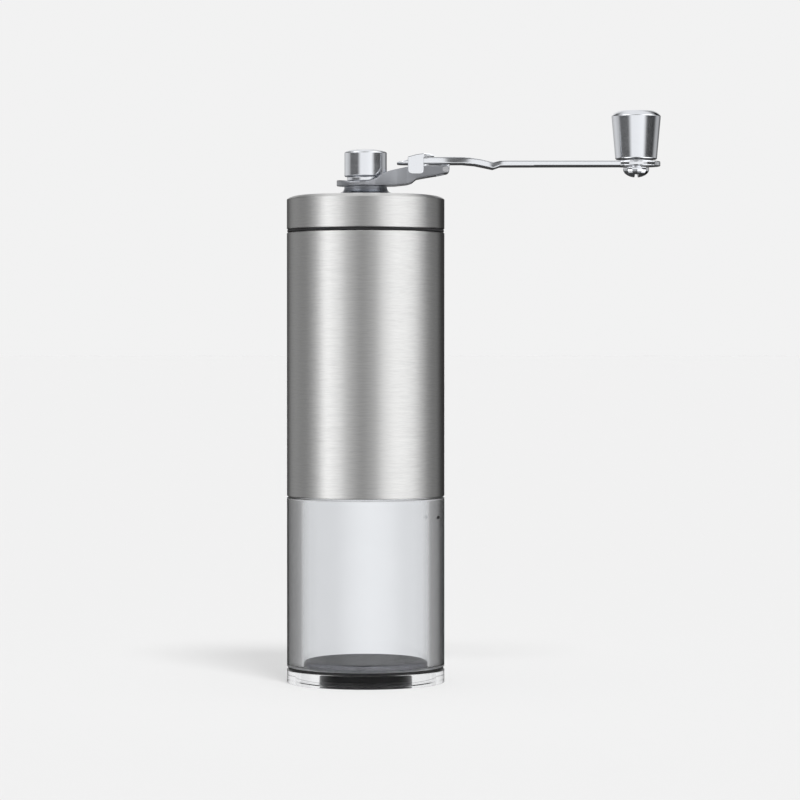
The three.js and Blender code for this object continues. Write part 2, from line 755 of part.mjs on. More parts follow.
const arm = group(
  piece("crank_arm", crankArm(), "chrome"),
  piece("arm_clip", armClip(), "chrome"),
  piece("clip_rivet", clipRivet(), "steel"),
  piece("knob_screw", knobScrew(), "chrome"),
  piece("knob_washer", atKnob(plainRing(KNOB_WASHER, FINE.small)), "steel"),
  piece("knob_clip", atKnob(slitRing(KNOB_CLIP, FINE.small)), "steel"),
);

const knob = group(
  piece("handle_knob", handleKnob(), "chrome"),
  piece("knob_cap", knobCap(), "chrome"),
  piece("knob_bush", atKnob(plainRing(KNOB_BUSH, FINE.small)), "brass"),
);

const shaft = group(
  piece("drive_shaft", driveShaft(), "steel"),
  piece("shaft_collar", plainRing(SHAFT_COLLAR, FINE.middle), "steel"),
  piece("spring_seat", plainRing(SPRING_SEAT, FINE.small), "steel"),
  piece("burr_spring", burrSpring(), "steel"),
);

const burr = group(
  piece("inner_burr", innerBurr(), "burr"),
  piece("burr_carrier", burrCarrier(), "brass"),
  piece("click_plate", clickPlate(), "steel"),
);

const adjuster = group(piece("adjuster_nut", adjusterNut(), "plastic"));

export default group(cup, body, lid, crank, arm, knob, shaft, burr, adjuster);
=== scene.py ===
import json
import math

import bmesh
import bpy
import numpy as np
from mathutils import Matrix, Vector


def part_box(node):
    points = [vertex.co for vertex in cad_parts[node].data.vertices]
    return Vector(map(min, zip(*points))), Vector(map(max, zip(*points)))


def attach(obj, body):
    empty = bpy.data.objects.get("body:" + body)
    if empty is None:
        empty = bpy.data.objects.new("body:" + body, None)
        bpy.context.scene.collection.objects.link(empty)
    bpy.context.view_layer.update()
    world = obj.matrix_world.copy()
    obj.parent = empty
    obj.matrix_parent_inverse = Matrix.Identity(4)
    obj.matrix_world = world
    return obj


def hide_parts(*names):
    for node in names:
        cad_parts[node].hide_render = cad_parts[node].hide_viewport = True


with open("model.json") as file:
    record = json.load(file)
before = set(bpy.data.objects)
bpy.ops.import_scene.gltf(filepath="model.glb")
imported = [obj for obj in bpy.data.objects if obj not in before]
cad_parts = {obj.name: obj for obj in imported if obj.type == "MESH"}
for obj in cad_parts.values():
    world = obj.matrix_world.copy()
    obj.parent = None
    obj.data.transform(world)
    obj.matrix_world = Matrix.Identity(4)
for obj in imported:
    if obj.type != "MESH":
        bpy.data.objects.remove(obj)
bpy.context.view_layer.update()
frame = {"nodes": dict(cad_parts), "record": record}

# Sizes in metres.
MM = 0.001
TINY = 1e-6
BODY_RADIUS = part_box("outer_sleeve")[1].x

# Points of a cut are the same within MERGE, and as good as the same within SAME_POINT.
MERGE = 1e-7
SAME_POINT = 4e-6

# A corner that turns less than this is part of a curve.
GENTLE_TURN = math.radians(40)

BODY_OF = {node: body for body, nodes in frame["record"]["behaviour"]["bodies"].items() for node in nodes}


# ---------------------------------------------------------------- outlines read from the frame

def triangles(node):
    """The corners of a CAD node's triangles, as an array of shape (count, 3, 3)."""
    mesh = frame["nodes"][node].data
    mesh.calc_loop_triangles()
    corners = np.array([vertex.co for vertex in mesh.vertices])
    return corners[[list(triangle.vertices) for triangle in mesh.loop_triangles]]


def section(node, across, at):
    """Where a plane at a place across one axis cuts a node, as loops of points on the other two."""
    first, second = [axis for axis in range(3) if axis != across]
    links, places = {}, {}
    for corners in triangles(node):
        heights = corners[:, across] - at
        ends = []
        for i in range(3):
            here, there = heights[i], heights[(i + 1) % 3]
            if (here > 0) == (there > 0):
                continue
            point = corners[i] + (corners[(i + 1) % 3] - corners[i]) * here / (here - there)
            key = (round(point[first] / MERGE), round(point[second] / MERGE))
            places[key] = (point[first], point[second])
            ends.append(key)
        if len(ends) == 2 and ends[0] != ends[1]:
            links.setdefault(ends[0], []).append(ends[1])
            links.setdefault(ends[1], []).append(ends[0])
    return [[places[key] for key in loop] for loop in walk(links)]


def walk(links):
    """Splits a set of linked keys into its closed loops."""
    loops, left = [], set(links)
    while left:
        key = left.pop()
        loop = [key]
        while True:
            onward = [other for other in links[key] if other in left]
            if not onward:
                break
            key = onward[0]
            left.discard(key)
            loop.append(key)
        if len(loop) > 2:
            loops.append(straightened(loop))
    return loops


def straightened(keys):
    """A loop of keys without near doubles and without those on a straight stretch."""
    apart = [key for i, key in enumerate(keys) if math.dist(key, keys[i - 1]) > SAME_POINT / MERGE]
    kept = []
    for i, (x, y) in enumerate(apart):
        before, after = apart[i - 1], apart[(i + 1) % len(apart)]
        twice_area = (x - before[0]) * (after[1] - before[1]) - (y - before[1]) * (after[0] - before[0])
        if abs(twice_area) / math.dist(before, after) > TINY / MERGE:
            kept.append((x, y))
    return kept


def half_outline(node, side=1):
    """A turned node's outline, as (radius, height) points: closed, or open with both ends on the axis."""
    low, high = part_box(node)
    centre = (low + high) / 2
    loops = section(node, 1, centre.y + TINY)
    loops = [[((x - centre.x) * side, z) for x, z in loop] for loop in loops]
    crossing = [loop for loop in loops if min(r for r, _ in loop) < -TINY and max(r for r, _ in loop) > TINY]
    if not crossing:
        return max((loop for loop in loops if loop[0][0] > 0), key=len), True
    loop = crossing[0]
    start = next(i for i in range(len(loop)) if loop[i - 1][0] <= 0 < loop[i][0])
    loop = loop[start:] + loop[:start]
    right = [point for point in loop if point[0] > 0]
    ends = [on_axis(loop[-1], right[0]), on_axis(right[-1], loop[len(right)])]
    return [ends[0], *right, ends[1]], False


def on_axis(one, other):
    """Where the line between two points crosses the axis."""
    share = one[0] / (one[0] - other[0])
    return (0.0, one[1] + (other[1] - one[1]) * share)


def rounded(points, closed, bevel, steps=4):
    """Small arcs at an outline's corners, and one smooth curve through its gentle ones."""
    result = []
    count = len(points)
    for i, point in enumerate(points):
        if not closed and i in (0, count - 1):
            result.append(Vector(point))
            continue
        here, before, after = Vector(point), Vector(points[i - 1]), Vector(points[(i + 1) % count])
        back, on = before - here, after - here
        turn = math.pi - back.angle(on)
        shorter = min(back.length, on.length)
        reach = shorter * 0.5 if turn < GENTLE_TURN else min(bevel, shorter * 0.45)
        start, end = here + back.normalized() * reach, here + on.normalized() * reach
        for step in range(steps + 1):
            t = step / steps
            result.append(start * (1 - t) ** 2 + here * 2 * t * (1 - t) + end * t ** 2)
    apart = [p for i, p in enumerate(result) if i == 0 or (p - result[i - 1]).length > MERGE]
    return held(apart, closed, bevel)


def held(points, closed, bevel):
    """Adds a point close to each end of a long stretch, so that flat faces shade flat."""
    result = []
    for i, point in enumerate(points):
        result.append(point)
        if not closed and i == len(points) - 1:
            break
        onward = points[(i + 1) % len(points)] - point
        if onward.length > bevel * 4:
            step = onward.normalized() * bevel
            result += [point + step, point + onward - step]
    return result


# ---------------------------------------------------------------- making pieces

def made(name, mesh_data, body, material, replaced):
    """Turns a bmesh into a piece that rides on a body and stands for CAD nodes."""
    bmesh.ops.recalc_face_normals(mesh_data, faces=mesh_data.faces)
    for face in mesh_data.faces:
        face.smooth = True
    mesh = bpy.data.meshes.new(name)
    mesh_data.to_mesh(mesh)
    mesh_data.free()
    piece = bpy.data.objects.new(name, mesh)
    bpy.context.scene.collection.objects.link(piece)
    mesh.materials.append(material)
    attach(piece, body)
    if replaced:
        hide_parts(*replaced)
    return piece


def spun(points, closed, centre=(0.0, 0.0), steps=192, shape=None, slit=0.0):
    """A surface round a vertical axis, as a bmesh.

    shape changes a radius by height and angle, and slit is the width of a cut through the ring at +X.
    """
    turned = bmesh.new()
    gap = math.asin(slit / 2 / max(point[0] for point in points))
    angles = [gap + (2 * math.pi - 2 * gap) * i / steps for i in range(steps + bool(slit))]
    columns = []
    for radius, height in points:
        if radius < TINY:
            columns.append([turned.verts.new((centre[0], centre[1], height))] * len(angles))
            continue
        column = []
        for angle in angles:
            reach = shape(radius, height, angle) if shape else radius
            x, y = centre[0] + reach * math.cos(angle), centre[1] + reach * math.sin(angle)
            column.append(turned.verts.new((x, y, height)))
        columns.append(column)
    pairs = list(zip(columns, columns[1:] + columns[:1])) if closed else list(zip(columns, columns[1:]))
    for inner, outer in pairs:
        for i in range(steps):
            j = (i + 1) % len(angles)
            corners = list(dict.fromkeys([inner[i], inner[j], outer[j], outer[i]]))
            if len(corners) > 2:
                turned.faces.new(corners)
    if slit:
        for end in (0, -1):
            turned.faces.new([column[end] for column in columns])
    return turned


def refined(node, material, bevel=0.25 * MM, steps=192, side=1, shape=None, slit=0.0, outline=None):
    """A fine turned piece with the CAD node's own outline, or one worked out from it."""
    points, closed = outline or half_outline(node, side)
    low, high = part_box(node)
    centre = ((low.x + high.x) / 2, (low.y + high.y) / 2)
    surface = spun(rounded(points, closed, bevel), closed, centre, steps, shape, slit)
    return made(f"fine_{node}", surface, BODY_OF[node], material, [node])


def remeshed(node, voxel):
    """The CAD node's shape as a new mesh of small even faces."""
    source = frame["nodes"][node]
    copy = bpy.data.objects.new("copy", source.data.copy())
    bpy.context.scene.collection.objects.link(copy)
    remesh = copy.modifiers.new("net", "REMESH")
    remesh.mode = "VOXEL"
    remesh.voxel_size = voxel
    bpy.context.view_layer.update()
    net = bpy.data.meshes.new_from_object(copy.evaluated_get(bpy.context.evaluated_depsgraph_get()))
    bpy.data.objects.remove(copy, do_unlink=True)
    return net


def relaxed(mesh, rounds):
    """A mesh's points, each moved towards the middle of its neighbours, which rounds the corners."""
    points = np.empty(len(mesh.vertices) * 3)
    mesh.vertices.foreach_get("co", points)
    points = points.reshape(-1, 3)
    ends = np.empty(len(mesh.edges) * 2, dtype=int)
    mesh.edges.foreach_get("vertices", ends)
    one, other = ends.reshape(-1, 2).T
    both, others = np.concatenate([one, other]), np.concatenate([other, one])
    count = np.bincount(both, minlength=len(points))
    for _ in range(rounds):
        middle = np.stack([np.bincount(both, points[others, axis], len(points)) for axis in range(3)], axis=1)
        points += 0.5 * (middle / count[:, None] - points)
    return points


def softened(node, material, voxel, rounds, bend=None):
    """A pressed or cut piece with its corners rounded; bend is a function that moves its points."""
    mesh = remeshed(node, voxel)
    points = relaxed(mesh, rounds)
    if bend:
        points = bend(points)
    mesh.vertices.foreach_set("co", points.ravel())
    mesh.update()
    surface = bmesh.new()
    surface.from_mesh(mesh)
    bpy.data.meshes.remove(mesh)
    return made(f"fine_{node}", surface, BODY_OF[node], material, [node])


# ---------------------------------------------------------------- materials

# Most of a noise texture's values lie in this range.
NOISE_LOW, NOISE_HIGH = 0.3, 0.7

# Heights and radii that the materials need.
CUP_LOW, CUP_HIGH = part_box("grounds_cup")
CUP_OUTSIDE = CUP_HIGH.x - 0.03 * MM
CUP_SHOULDER = 58.6 * MM
CUP_FLOOR = 5.2 * MM
LOW_GROUND_EDGE = 0.55 * MM
HIGH_GROUND_EDGE = 0.4 * MM
GROUND_ROUGHNESS = 0.5
LID_CORNER = 153.1 * MM


def scaled(shade, factor):
    return tuple(min(1.0, c * factor) for c in shade)


class Nodes:
    """A short way to build a node tree."""

    def __init__(self, tree):
        self.tree = tree
        tree.nodes.clear()

    def add(self, kind, inputs=None, **settings):
        node = self.tree.nodes.new(kind)
        for key, value in settings.items():
            setattr(node, key, value)
        for key, value in (inputs or {}).items():
            if isinstance(value, bpy.types.NodeSocket):
                self.tree.links.new(value, node.inputs[key])
            else:
                node.inputs[key].default_value = value
        return node

    def math(self, operation, *values):
        return self.add("ShaderNodeMath", dict(enumerate(values)), operation=operation).outputs[0]

    def vector(self, x, y, z):
        return self.add("ShaderNodeCombineXYZ", {0: x, 1: y, 2: z}).outputs[0]

    def split(self, vector):
        return self.add("ShaderNodeSeparateXYZ", {0: vector}).outputs

    def place(self):
        """Where a point is on the object at rest."""
        return self.add("ShaderNodeTexCoord").outputs["Object"]

    def radius(self, x, y):
        """The distance from the Z axis."""
        return self.math("SQRT", self.math("ADD", self.math("MULTIPLY", x, x), self.math("MULTIPLY", y, y)))

    def noise(self, vector, scale, detail=3.0, roughness=0.5):
        inputs = {"Vector": vector, "Scale": scale, "Detail": detail, "Roughness": roughness}
        return self.add("ShaderNodeTexNoise", inputs).outputs["Fac"]

    def blend(self, one, other, share):
        """One value at a share, and another at the rest."""
        return self.math("ADD", self.math("MULTIPLY", one, share), self.math("MULTIPLY", other, 1 - share))

    def ranged(self, value, low, high, to_low, to_high):
        inputs = {0: value, 1: low, 2: high, 3: to_low, 4: to_high}
        return self.add("ShaderNodeMapRange", inputs, clamp=True).outputs[0]

    def mix(self, share, one, other):
        """One value, going over to another as share goes from 0 to 1."""
        return self.add("ShaderNodeMix", {0: share, 2: one, 3: other}).outputs[0]

    def mix_colors(self, share, one, other, how="MIX"):
        inputs = {0: share, 6: one, 7: other}
        return self.add("ShaderNodeMix", inputs, data_type="RGBA", blend_type=how).outputs[2]

    def ramp(self, value, stops, interpolation="EASE"):
        ramp = self.add("ShaderNodeValToRGB", {0: value})
        elements = ramp.color_ramp.elements
        ramp.color_ramp.interpolation = interpolation
        while len(elements) < len(stops):
            elements.new(1.0)
        for element, (place, shade) in zip(elements, stops):
            element.position = place
            element.color = (*shade, 1) if isinstance(shade, tuple) else (shade, shade, shade, 1)
        return ramp.outputs[0]

    def varied(self, noise, shade, low, high):
        """A shade that noise takes from low to high times itself."""
        stops = [(NOISE_LOW, scaled(shade, low)), (NOISE_HIGH, scaled(shade, high))]
        return self.ramp(noise, stops, "LINEAR")


def shader(name):
    material = bpy.data.materials.new(name)
    material.use_nodes = True
    return material, Nodes(material.node_tree)


def grey(level):
    return (level, level, level, 1)


def close(nodes, inputs, bump=None, bump_strength=0.1, bump_distance=0.05 * MM):
    """Ends a material with a Principled shader."""
    if bump is not None:
        bump_inputs = {"Height": bump, "Strength": bump_strength, "Distance": bump_distance}
        inputs["Normal"] = nodes.add("ShaderNodeBump", bump_inputs).outputs[0]
    principled = nodes.add("ShaderNodeBsdfPrincipled", inputs)
    nodes.add("ShaderNodeOutputMaterial", {"Surface": principled.outputs[0]})


def grain(nodes, along, across, turned=True):
    """Coordinates that draw noise out into streaks: round the axis where turned, else along X."""
    x, y, z = nodes.split(nodes.place())
    if turned:
        scales = (along, along, across)
        z = nodes.math("ADD", z, nodes.radius(x, y))
    else:
        scales = (along, across, across)
    return nodes.vector(*[nodes.math("MULTIPLY", value, scale) for value, scale in zip((x, y, z), scales)])


def brushed(name, shade, roughness, anisotropy, contrast=0.12, edge=1.0, corner=None):
    """Metal brushed round its axis.

    edge is how bright it stays where it turns away, up to the height of the corner, if there is one.
    """
    material, nodes = shader(name)
    fine = nodes.noise(grain(nodes, 330, 4200), 1.0, 3.0, 0.6)
    broad = nodes.noise(grain(nodes, 110, 1500), 1.0, 2.0, 0.5)
    both = nodes.blend(fine, broad, 0.65)
    color = nodes.varied(both, shade, 1 - contrast, 1 + contrast)
    tangent = nodes.add("ShaderNodeTangent", direction_type="RADIAL", axis="Z").outputs[0]
    rough = nodes.ranged(both, NOISE_LOW, NOISE_HIGH, roughness * 0.85, roughness * 1.15)
    tint = grey(edge)
    if corner:
        height = nodes.split(nodes.place())[2]
        tint = nodes.ranged(height, corner - 0.05 * MM, corner + 0.05 * MM, edge, 1.0)
    inputs = {
        "Base Color": color, "Metallic": 1.0, "Roughness": rough, "Anisotropic": anisotropy,
        "Anisotropic Rotation": 0.25, "Tangent": tangent, "Specular Tint": tint,
    }
    close(nodes, inputs, both, 0.25, 0.01 * MM)
    return material


def polished(name, shade, roughness, turned=True):
    """Bright plated metal with faint polishing lines and smudges."""
    material, nodes = shader(name)
    lines = nodes.noise(grain(nodes, 120, 2600, turned), 1.0, 3.0, 0.6)
    smudge = nodes.noise(nodes.place(), 160.0, 3.0, 0.6)
    both = nodes.blend(lines, smudge, 0.5)
    rough = nodes.ranged(both, 0.35, 0.65, roughness * 0.85, roughness * 1.2)
    color = nodes.varied(both, shade, 0.95, 1.0)
    close(nodes, {"Base Color": color, "Metallic": 1.0, "Roughness": rough}, lines, 0.06, 0.01 * MM)
    return material


def moulded(name, shade, roughness, speckle=900.0, strength=0.15):
    """Black plastic or rubber with a fine moulded texture."""
    material, nodes = shader(name)
    place = nodes.place()
    texture = nodes.noise(place, speckle, 4.0, 0.6)
    blotch = nodes.noise(place, 120.0, 2.0, 0.5)
    rough = nodes.ranged(blotch, NOISE_LOW, NOISE_HIGH, roughness * 0.85, roughness * 1.2)
    color = nodes.varied(texture, shade, 0.8, 1.2)
    close(nodes, {"Base Color": color, "Roughness": rough}, texture, strength, 0.03 * MM)
    return material


def anodised(name, shade, painted_sheen, roughness):
    """Black anodised metal, faintly turned, painted a lighter grey above the cup's floor level as a painted
    reflection.
    """
    material, nodes = shader(name)
    place = nodes.place()
    cloud = nodes.noise(place, 140.0, 3.0, 0.6)
    lines = nodes.noise(grain(nodes, 60, 2400), 1.0, 2.0, 0.5)
    both = nodes.blend(lines, cloud, 0.5)
    clean = nodes.varied(both, shade, 0.8, 1.2)
    painted_sheen_color = nodes.varied(cloud, painted_sheen, 0.8, 1.2)
    # Painted reflection: above the cup's floor level the metal takes the lighter grey.
    share = nodes.ranged(nodes.split(place)[2], CUP_FLOOR - 0.1 * MM, CUP_FLOOR + 0.1 * MM, 0.0, 1.0)
    color = nodes.mix_colors(share, clean, painted_sheen_color)
    rough = nodes.ranged(both, NOISE_LOW, NOISE_HIGH, roughness * 0.8, roughness * 1.2)
    inputs = {"Base Color": color, "Metallic": 1.0, "Roughness": rough, "Specular Tint": grey(0.2)}
    close(nodes, inputs, lines, 0.02, 0.01 * MM)
    return material


# This drives the painted shade on the cup's outside.
def turned_away(nodes):
    """How far an upright wall turns away from the viewer, 0 to 1, whatever the viewer's height.

    The second Layer Weight has a fixed upright normal, so it measures how steeply the viewer looks down.
    """
    upright = nodes.vector(0.0, 0.0, 1.0)
    towards = nodes.add("ShaderNodeLayerWeight", {"Blend": 0.5}).outputs["Facing"]
    from_above = nodes.add("ShaderNodeLayerWeight", {"Blend": 0.5, "Normal": upright}).outputs["Facing"]
    sine = nodes.math("SUBTRACT", 1.0, from_above)
    level = nodes.math("SQRT", nodes.math("SUBTRACT", 1.0, nodes.math("MULTIPLY", sine, sine)))
    share = nodes.math("DIVIDE", nodes.math("SUBTRACT", 1.0, towards), nodes.math("MAXIMUM", level, 0.05))
    return nodes.math("SUBTRACT", 1.0, nodes.math("MINIMUM", share, 1.0))


def ground_edges(nodes, height):
    """1 on the cup's two ground outer edges, and 0 elsewhere."""
    top_of_low = CUP_LOW.z + LOW_GROUND_EDGE
    low = nodes.ranged(height, top_of_low, top_of_low + 0.1 * MM, 1.0, 0.0)
    bottom_of_high = CUP_SHOULDER - HIGH_GROUND_EDGE
    above = nodes.ranged(height, bottom_of_high, bottom_of_high + 0.1 * MM, 0.0, 1.0)
    below = nodes.ranged(height, CUP_SHOULDER + 0.02 * MM, CUP_SHOULDER + 0.06 * MM, 1.0, 0.0)
    return nodes.math("MAXIMUM", low, nodes.math("MULTIPLY", above, below))


def acrylic(name, shade, gloss, edge=None):
    """Clear acrylic with a trace of wear in its polish.

    edge gives the cup's material: a ramp of painted shade that darkens the base colour of its outside as it
    turns away from the viewer, and ground edges.
    """
    material, nodes = shader(name)
    place = nodes.place()
    haze = nodes.noise(place, 90.0, 4.0, 0.6)
    rough = nodes.ranged(haze, 0.45, 0.75, 0.0, 0.02)
    color = nodes.varied(haze, shade, 1.0, 0.985)
    if edge:
        x, y, z = nodes.split(place)
        ground = ground_edges(nodes, z)
        rough = nodes.math("MAXIMUM", rough, nodes.math("MULTIPLY", ground, GROUND_ROUGHNESS))
        # Painted shade: the outside, but not its ground edges, darkens in base colour as it turns away from the
        # viewer.
        outside = nodes.math("GREATER_THAN", nodes.radius(x, y), CUP_OUTSIDE)
        outside = nodes.math("MULTIPLY", outside, nodes.math("SUBTRACT", 1.0, ground))
        painted_edge_shade = nodes.ramp(nodes.math("MULTIPLY", turned_away(nodes), outside), edge, "LINEAR")
        color = nodes.mix_colors(1.0, color, painted_edge_shade, "MULTIPLY")
    inputs = {
        "Base Color": color, "Roughness": rough, "IOR": 1.49, "Transmission Weight": 1.0,
        "Specular Tint": grey(gloss),
    }
    close(nodes, inputs)
    return material


# Painted shade on the cup's outside: the share of its tone kept, by how far its outside turns away from the
# viewer, 0 to 1.
CUP_PAINTED_EDGE_SHADE = [
    (0.0, 1.0), (0.2, 0.94), (0.3, 0.8), (0.38, 0.5), (0.43, 0.17), (0.5, 0.11), (0.6, 0.055), (0.7, 0.01),
]

BRUSHED = brushed("brushed_body", (0.68, 0.68, 0.675), 0.40, 0.95, edge=0.3)
BRUSHED_LID = brushed("brushed_lid", (0.68, 0.68, 0.675), 0.40, 0.95, edge=0.3, corner=LID_CORNER)
CHROME = polished("chrome_turned", (0.83, 0.85, 0.89), 0.16)
CHROME_FLAT = polished("chrome_pressed", (0.83, 0.85, 0.885), 0.15, turned=False)
SATIN = polished("satin_pressed", (0.36, 0.37, 0.395), 0.34, turned=False)
STEEL = brushed("plain_steel", (0.55, 0.555, 0.57), 0.3, 0.4)
BURR_STEEL = polished("ground_steel", (0.42, 0.43, 0.45), 0.3)
BRASS = brushed("turned_brass", (0.72, 0.52, 0.24), 0.3, 0.4)
# The second colour is the painted reflection above the cup's floor level.
GLOSS_BLACK = anodised("gloss_black", (0.004, 0.004, 0.0045), (0.22, 0.22, 0.235), 0.2)
PLASTIC = moulded("black_plastic", (0.02, 0.02, 0.022), 0.45)
RUBBER = moulded("black_rubber", (0.012, 0.012, 0.013), 0.7, 1400.0, 0.3)
CLEAR = acrylic("clear_acrylic", (0.97, 0.975, 0.985), 0.2)
CUP_CLEAR = acrylic("cup_acrylic", (0.95, 0.96, 0.975), 0.25, CUP_PAINTED_EDGE_SHADE)


# ---------------------------------------------------------------- outlines that differ from the CAD's

# The gap left between pieces that are carried on to touch.
HAIRLINE = 0.01 * MM

# Points this close to an outline's end or outside belong to it.
NEAR = 0.05 * MM
LID_SEAL_INSET = 0.15 * MM
FOOT_PAD_RADIUS = 14.7 * MM
RING_CHAMFER = 0.25 * MM
CUP_CHAMFER = 0.4 * MM
CAP_CORNER = 167.95 * MM
KNOB_CORNER = 179.5 * MM

# How far below its corner a piece's outline is replaced by the corner and the crest.
BELOW_CORNER = 1 * MM

# Crests, as (radius, height) from the corner inwards.
LID_CREST = [(24.1 * MM, 153.7 * MM), (22.4 * MM, 154.22 * MM)]
CAP_CREST = [(6.25 * MM, 168.3 * MM), (5.3 * MM, 168.62 * MM), (3.3 * MM, 168.93 * MM)]
KNOB_CREST = [(7.25 * MM, 180.15 * MM), (6.4 * MM, 180.75 * MM), (5.65 * MM, 181.08 * MM)]


def outside_of(points):
    return max(radius for radius, _ in points)


def stretched(node, height, onto):
    """A turned node's outline with its end at one height carried on to another height."""
    points, closed = half_outline(node)
    return [(r, onto if abs(z - height) < NEAR else z) for r, z in points], closed


def widened(node, radius):
    """A turned node's outline with its outside carried out to a radius."""
    points, closed = half_outline(node)
    outside = outside_of(points)
    return [(radius if r > outside - NEAR else r, z) for r, z in points], closed


def squared(node, chamfer):
    """A turned node's outline with sharp outer corners in place of its chamfers."""
    points, closed = half_outline(node)
    outside = outside_of(points)
    return [(outside if r > outside - chamfer else r, z) for r, z in points], closed


def crested(node, corner, crest):
    """A turned node's outline with a crisp corner and a crest in place of its upper outer edge."""
    points, closed = half_outline(node)
    outside = outside_of(points)
    low = corner - BELOW_CORNER
    first = next(i for i, (r, z) in enumerate(points) if r > outside - TINY and z > low)
    last = next(i for i in range(first, len(points)) if points[i][0] < crest[-1][0])
    return points[:first] + [(outside, corner), *crest] + points[last:], closed


OUTLINES = {
    "base_gasket": stretched("base_gasket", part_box("base_gasket")[0].z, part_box("base_ring")[1].z + HAIRLINE),
    "floor_plug": stretched("floor_plug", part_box("floor_plug")[0].z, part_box("foot_pad")[1].z + HAIRLINE),
    "lid_seal": widened("lid_seal", BODY_RADIUS - LID_SEAL_INSET),
    "foot_pad": widened("foot_pad", FOOT_PAD_RADIUS),
    "base_ring": squared("base_ring", RING_CHAMFER),
    "grounds_cup": squared("grounds_cup", CUP_CHAMFER),
    "lid_shell": crested("lid_shell", LID_CORNER, LID_CREST),
    "hub_cap": crested("hub_cap", CAP_CORNER, CAP_CREST),
    "handle_knob": crested("handle_knob", KNOB_CORNER, KNOB_CREST),
}


# ---------------------------------------------------------------- shapes that aren't round

HEX_SHAFT_BOTTOM = 146 * MM
FLATS = {"half": 2.5 * MM, "bottom": 67.7 * MM, "top": 91 * MM}
SOCKET_REACH = 3.2 * MM


def hexagon(apothem, angle):
    """How far a hexagon with flats across X reaches at an angle."""
    return apothem / math.cos((angle + math.pi / 6) % (math.pi / 3) - math.pi / 6)


def cap_shape(radius, height, angle):
    """The cap's stem is turned outside, and has a hexagon socket."""
    return hexagon(radius, angle) if radius < SOCKET_REACH else radius


def shaft_shape(radius, height, angle):
    """The shaft has a hexagon end and, lower down, two flats."""
    if height > HEX_SHAFT_BOTTOM:
        return hexagon(radius, angle)
    if FLATS["bottom"] < height < FLATS["top"]:
        return min(radius, FLATS["half"] / max(abs(math.sin(angle)), TINY))
    return radius


def scalloped(count, pitch, cutter):
    """A shape with round dents in its rim."""
    def shape(radius, height, angle):
        turn = (angle + math.pi / count) % (2 * math.pi / count) - math.pi / count
        across = pitch * math.sin(turn)
        if abs(across) >= cutter:
            return radius
        return min(radius, pitch * math.cos(turn) - math.sqrt(cutter ** 2 - across ** 2))
    return shape


# The bracket: where its cheeks begin to lean in and over what length, by what share of their distance
# from the middle for each metre down, and how its taper runs out into its straight end.
LEAN_START = 3 * MM
LEAN_LENGTH = 7 * MM
LEAN = 27
TAPER_END = 13 * MM
TAPER_BLEND = 4 * MM
TAPER_SLOPE = 0.35
BRACKET_HALF = 5.6 * MM


def drafted(points):
    """Leans the bracket's cheeks in towards their lower edge, and runs their taper out smoothly."""
    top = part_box("crank_bracket")[1].z
    lean = np.clip((points[:, 0] - LEAN_START) / LEAN_LENGTH, 0, 1) * LEAN
    points[:, 1] *= 1 - lean * np.clip(top - points[:, 2], 0, None)
    reach = np.clip(TAPER_BLEND - np.abs(points[:, 0] - TAPER_END), 0, None)
    points[:, 1] *= 1 + TAPER_SLOPE * reach ** 2 / (4 * TAPER_BLEND * BRACKET_HALF)
    return points


# Where pressing the arm has tipped its sides: middle and half length along X, and the height they tip about.
TIPPED = [(28.9 * MM, 6.6 * MM, 165.2 * MM), (41.2 * MM, 3.2 * MM, 164.0 * MM)]
TIP = 0.125
ARM_SIDE = 4.9 * MM


def tipped(points):
    """Tips the arm's sides a little where it has been bent."""
    side = np.where(np.abs(points[:, 1]) > ARM_SIDE, np.sign(points[:, 1]), 0.0)
    for middle, half, about in TIPPED:
        share = np.cos(np.clip((points[:, 0] - middle) / half, -1, 1) * math.pi / 2) ** 2
        points[:, 1] -= side * TIP * share * (points[:, 2] - about)
    return points


# ---------------------------------------------------------------- pieces

# The mark's section, from its middle out: the share of its half size, and how far it stands off the cup.
MARK_SECTION = [(0.6, 0.045 * MM), (0.9, 0.03 * MM), (1.0, 0.0), (1.0, -0.05 * MM)]
MARK_MIDDLE = 0.05 * MM
MARK_STEPS = 24


def index_mark(bearing, height, half_width, half_height):
    """A small black mark printed on the cup, a guide for closing it."""
    dot = bmesh.new()

    def point(share, proud, turn):
        around = bearing + share * half_width * math.cos(turn) / CUP_HIGH.x
        reach = CUP_HIGH.x + proud
        up = height + share * half_height * math.sin(turn)
        return dot.verts.new((reach * math.sin(around), -reach * math.cos(around), up))

    turns = [2 * math.pi * i / MARK_STEPS for i in range(MARK_STEPS)]
    rings = [[point(0.0, MARK_MIDDLE, 0.0)] * MARK_STEPS]
    rings += [[point(share, proud, turn) for turn in turns] for share, proud in MARK_SECTION]
    for inner, outer in zip(rings, rings[1:]):
        for i in range(MARK_STEPS):
            j = (i + 1) % MARK_STEPS
            dot.faces.new(list(dict.fromkeys([inner[i], inner[j], outer[j], outer[i]])))
    dot.faces.new(rings[-1])
    made("index_mark", dot, BODY_OF["grounds_cup"], RUBBER, [])


